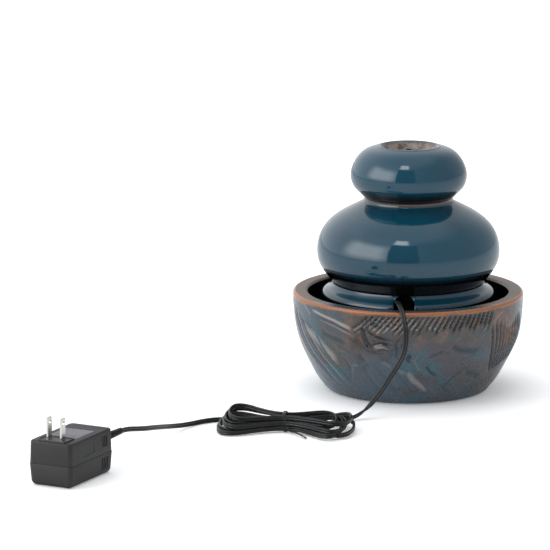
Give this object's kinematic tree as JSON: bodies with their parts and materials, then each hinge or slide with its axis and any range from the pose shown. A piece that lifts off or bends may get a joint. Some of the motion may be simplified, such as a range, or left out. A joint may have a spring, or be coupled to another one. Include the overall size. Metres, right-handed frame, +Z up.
{
  "type": "tabletop fountain with submersible pump",
  "caption": "Tabletop ceramic fountain: carved glazed bowl, lift-out stack of two glossy stones, hidden submersible pump, flat mains lead in a tied hank and plug-in adapter.",
  "frame": {"origin": "centre of the bowl, on the surface that its pads stand on", "axes": "+Z up; the lead leaves over the rim at -Y, which is the fountain's back; the pump's shaft lies along Y with its intake at +Y"},
  "size_m": [0.3916, 0.4933, 0.2185],
  "materials": {
    "bowl_glaze": "carved stoneware, slate blue glaze pooling teal in the cuts and breaking rust brown on the ridges",
    "stone_glaze": "deep teal blue high-gloss glaze",
    "pad_rubber": "soft black rubber",
    "seal_rubber": "moulded black rubber",
    "clear_tube": "translucent silicone tube",
    "pump_plastic": "moulded black plastic with a fine texture",
    "volute_plastic": "moulded dark grey plastic",
    "slider_plastic": "moulded grey plastic",
    "impeller_plastic": "moulded off-white plastic",
    "core_steel": "stacked silicon-steel laminations",
    "copper_wire": "enamelled copper windings",
    "potting": "poured black epoxy resin",
    "shaft_ceramic": "ground white ceramic rod",
    "ferrite": "sintered dark grey ferrite",
    "cord_vinyl": "black vinyl sheath with a dull sheen",
    "tie_vinyl": "black plastic-coated wire",
    "case_plastic": "black moulded case with a fine spark texture",
    "plate_plastic": "smooth black moulded plate",
    "blade_nickel": "nickel-plated stamped brass",
    "label_film": "blank dull purple-grey film",
    "bobbin_nylon": "moulded natural nylon"
  },
  "bodies": {
    "root": {"bowl": "bowl_glaze", "foot_pads": "pad_rubber", "pump_housing": "pump_plastic", "suction_cups": "seal_rubber", "stator_core": "core_steel", "stator_coil": "copper_wire", "potting_resin": "potting", "pump_gland": "cord_vinyl", "rotor_shaft": "shaft_ceramic", "rear_bush": "seal_rubber", "front_bush": "seal_rubber", "volute_cover": "volute_plastic", "cord_pump_lead": "cord_vinyl", "cord_hank": "cord_vinyl", "cord_tie": "tie_vinyl", "cord_adapter_lead": "cord_vinyl", "adapter_lower_case": "case_plastic", "adapter_upper_case": "case_plastic", "adapter_strain_relief": "cord_vinyl", "blade_plate": "plate_plastic", "plug_blades": "blade_nickel", "adapter_label": "label_film", "transformer_core": "core_steel", "transformer_bobbin": "bobbin_nylon", "primary_winding": "copper_wire", "secondary_winding": "copper_wire"},
    "stack": {"stone_stack": "stone_glaze", "outlet_grommet": "seal_rubber", "riser_tube": "clear_tube", "outlet_spout": "pump_plastic"},
    "rotor": {"rotor_magnet": "ferrite", "impeller": "impeller_plastic"},
    "intake": {"intake_cover": "volute_plastic"},
    "slider": {"flow_slider": "slider_plastic"}
  },
  "joints": [
    {"name": "stack_lift", "type": "slide", "parent": "root", "child": "stack", "axis": [0, 0, 1], "range_m": [0, 0.12]},
    {"name": "rotor_spin", "type": "hinge", "parent": "root", "child": "rotor", "pos_m": [0, 0, 0.0328], "axis": [0, 1, 0], "continuous": true},
    {"name": "intake_slide", "type": "slide", "parent": "root", "child": "intake", "axis": [0, 1, 0], "range_m": [0, 0.028]},
    {"name": "flow_adjust", "type": "slide", "parent": "intake", "child": "slider", "axis": [1, 0, 0], "range_m": [0, 0.008]}
  ]
}
